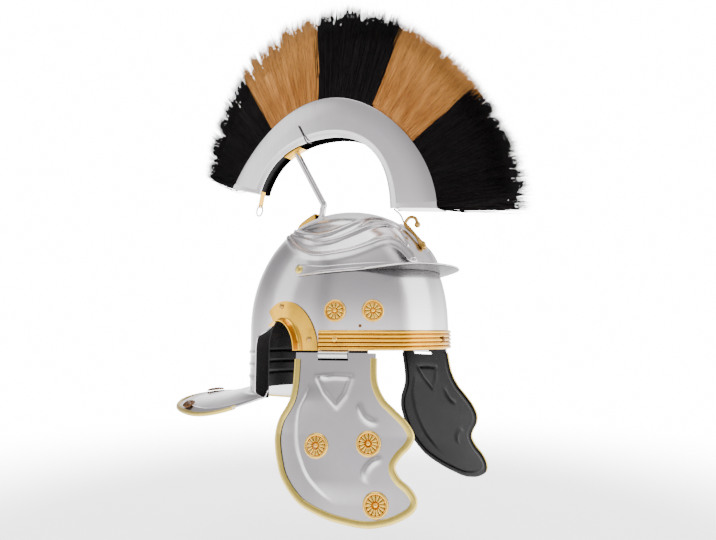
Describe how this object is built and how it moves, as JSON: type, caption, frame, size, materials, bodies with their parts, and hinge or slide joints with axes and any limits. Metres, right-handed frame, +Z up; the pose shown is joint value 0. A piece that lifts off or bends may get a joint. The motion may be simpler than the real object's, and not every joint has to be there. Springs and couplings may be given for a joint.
{
  "type": "roman legionary helmet",
  "caption": "Polished steel legionary helmet with brass brow band, ear guards and rosettes, hinged cheek pieces, sloping neck guard and a fore-and-aft banded horsehair crest.",
  "frame": {"origin": "where the top of the head touches the inside of the bowl's crown", "axes": "+Z up, the face looks along -Y, the wearer's left is +X"},
  "size_m": [0.2472, 0.4121, 0.5298],
  "materials": {
    "polished_steel": "polished, faint fore-and-aft scratches",
    "brass": "polished, warm in the hollows",
    "pale_brass": "satin pale brass binding",
    "dark_brass": "darkened cast brass",
    "black_wire": "blackened wire",
    "black_hair": "horsehair, straight strands",
    "tan_hair": "horsehair, straight strands, paler tips"
  },
  "bodies": {
    "helmet": {"band_rivet_front": "brass", "band_rivet_left": "brass", "band_rivet_right": "brass", "bowl_nail_left": "dark_brass", "bowl_nail_right": "dark_brass", "bowl_rosette_left_front": "brass", "bowl_rosette_left_rear": "brass", "bowl_rosette_right_front": "brass", "bowl_rosette_right_rear": "brass", "brow_band": "brass", "brow_peak": "polished_steel", "crest_box": "polished_steel", "crest_bracket": "brass", "crest_keeper": "brass", "crest_rod": "polished_steel", "ear_guard_left": "brass", "ear_guard_right": "brass", "ear_guard_rivet_left_foot": "brass", "ear_guard_rivet_left_top": "brass", "ear_guard_rivet_right_foot": "brass", "ear_guard_rivet_right_top": "brass", "front_hook": "brass", "front_hook_rivet": "brass", "front_tie_wire": "black_wire", "hinge_strap_left": "polished_steel", "hinge_strap_right": "polished_steel", "neck_guard_leaf_left": "dark_brass", "neck_guard_leaf_rear": "dark_brass", "neck_guard_leaf_right": "dark_brass", "neck_guard_trim": "brass", "peak_rivet_left": "brass", "peak_rivet_right": "brass", "plume_1_black": "black_hair", "plume_2_tan": "tan_hair", "plume_3_black": "black_hair", "plume_4_tan": "tan_hair", "plume_5_black": "black_hair", "rear_ring": "black_wire", "rear_tab": "brass", "side_tie_wire": "black_wire", "steel_bowl": "polished_steel"},
    "right_cheek": {"cheek_binding_right": "pale_brass", "cheek_piece_right": "polished_steel", "cheek_rosette_right_chin": "brass", "cheek_rosette_right_front": "brass", "cheek_rosette_right_rear": "brass"},
    "left_cheek": {"cheek_binding_left": "pale_brass", "cheek_piece_left": "polished_steel", "cheek_rosette_left_chin": "brass", "cheek_rosette_left_front": "brass", "cheek_rosette_left_rear": "brass"}
  },
  "joints": [
    {"name": "right_cheek_swing", "type": "hinge", "parent": "helmet", "child": "right_cheek", "pos_m": [-0.0891, -0.0442, -0.1467], "axis": [-0.3584, 0.9336, 0], "range_deg": [0, 85]},
    {"name": "left_cheek_swing", "type": "hinge", "parent": "helmet", "child": "left_cheek", "pos_m": [0.0891, -0.0442, -0.1467], "axis": [-0.3584, -0.9336, 0], "range_deg": [0, 85]}
  ]
}
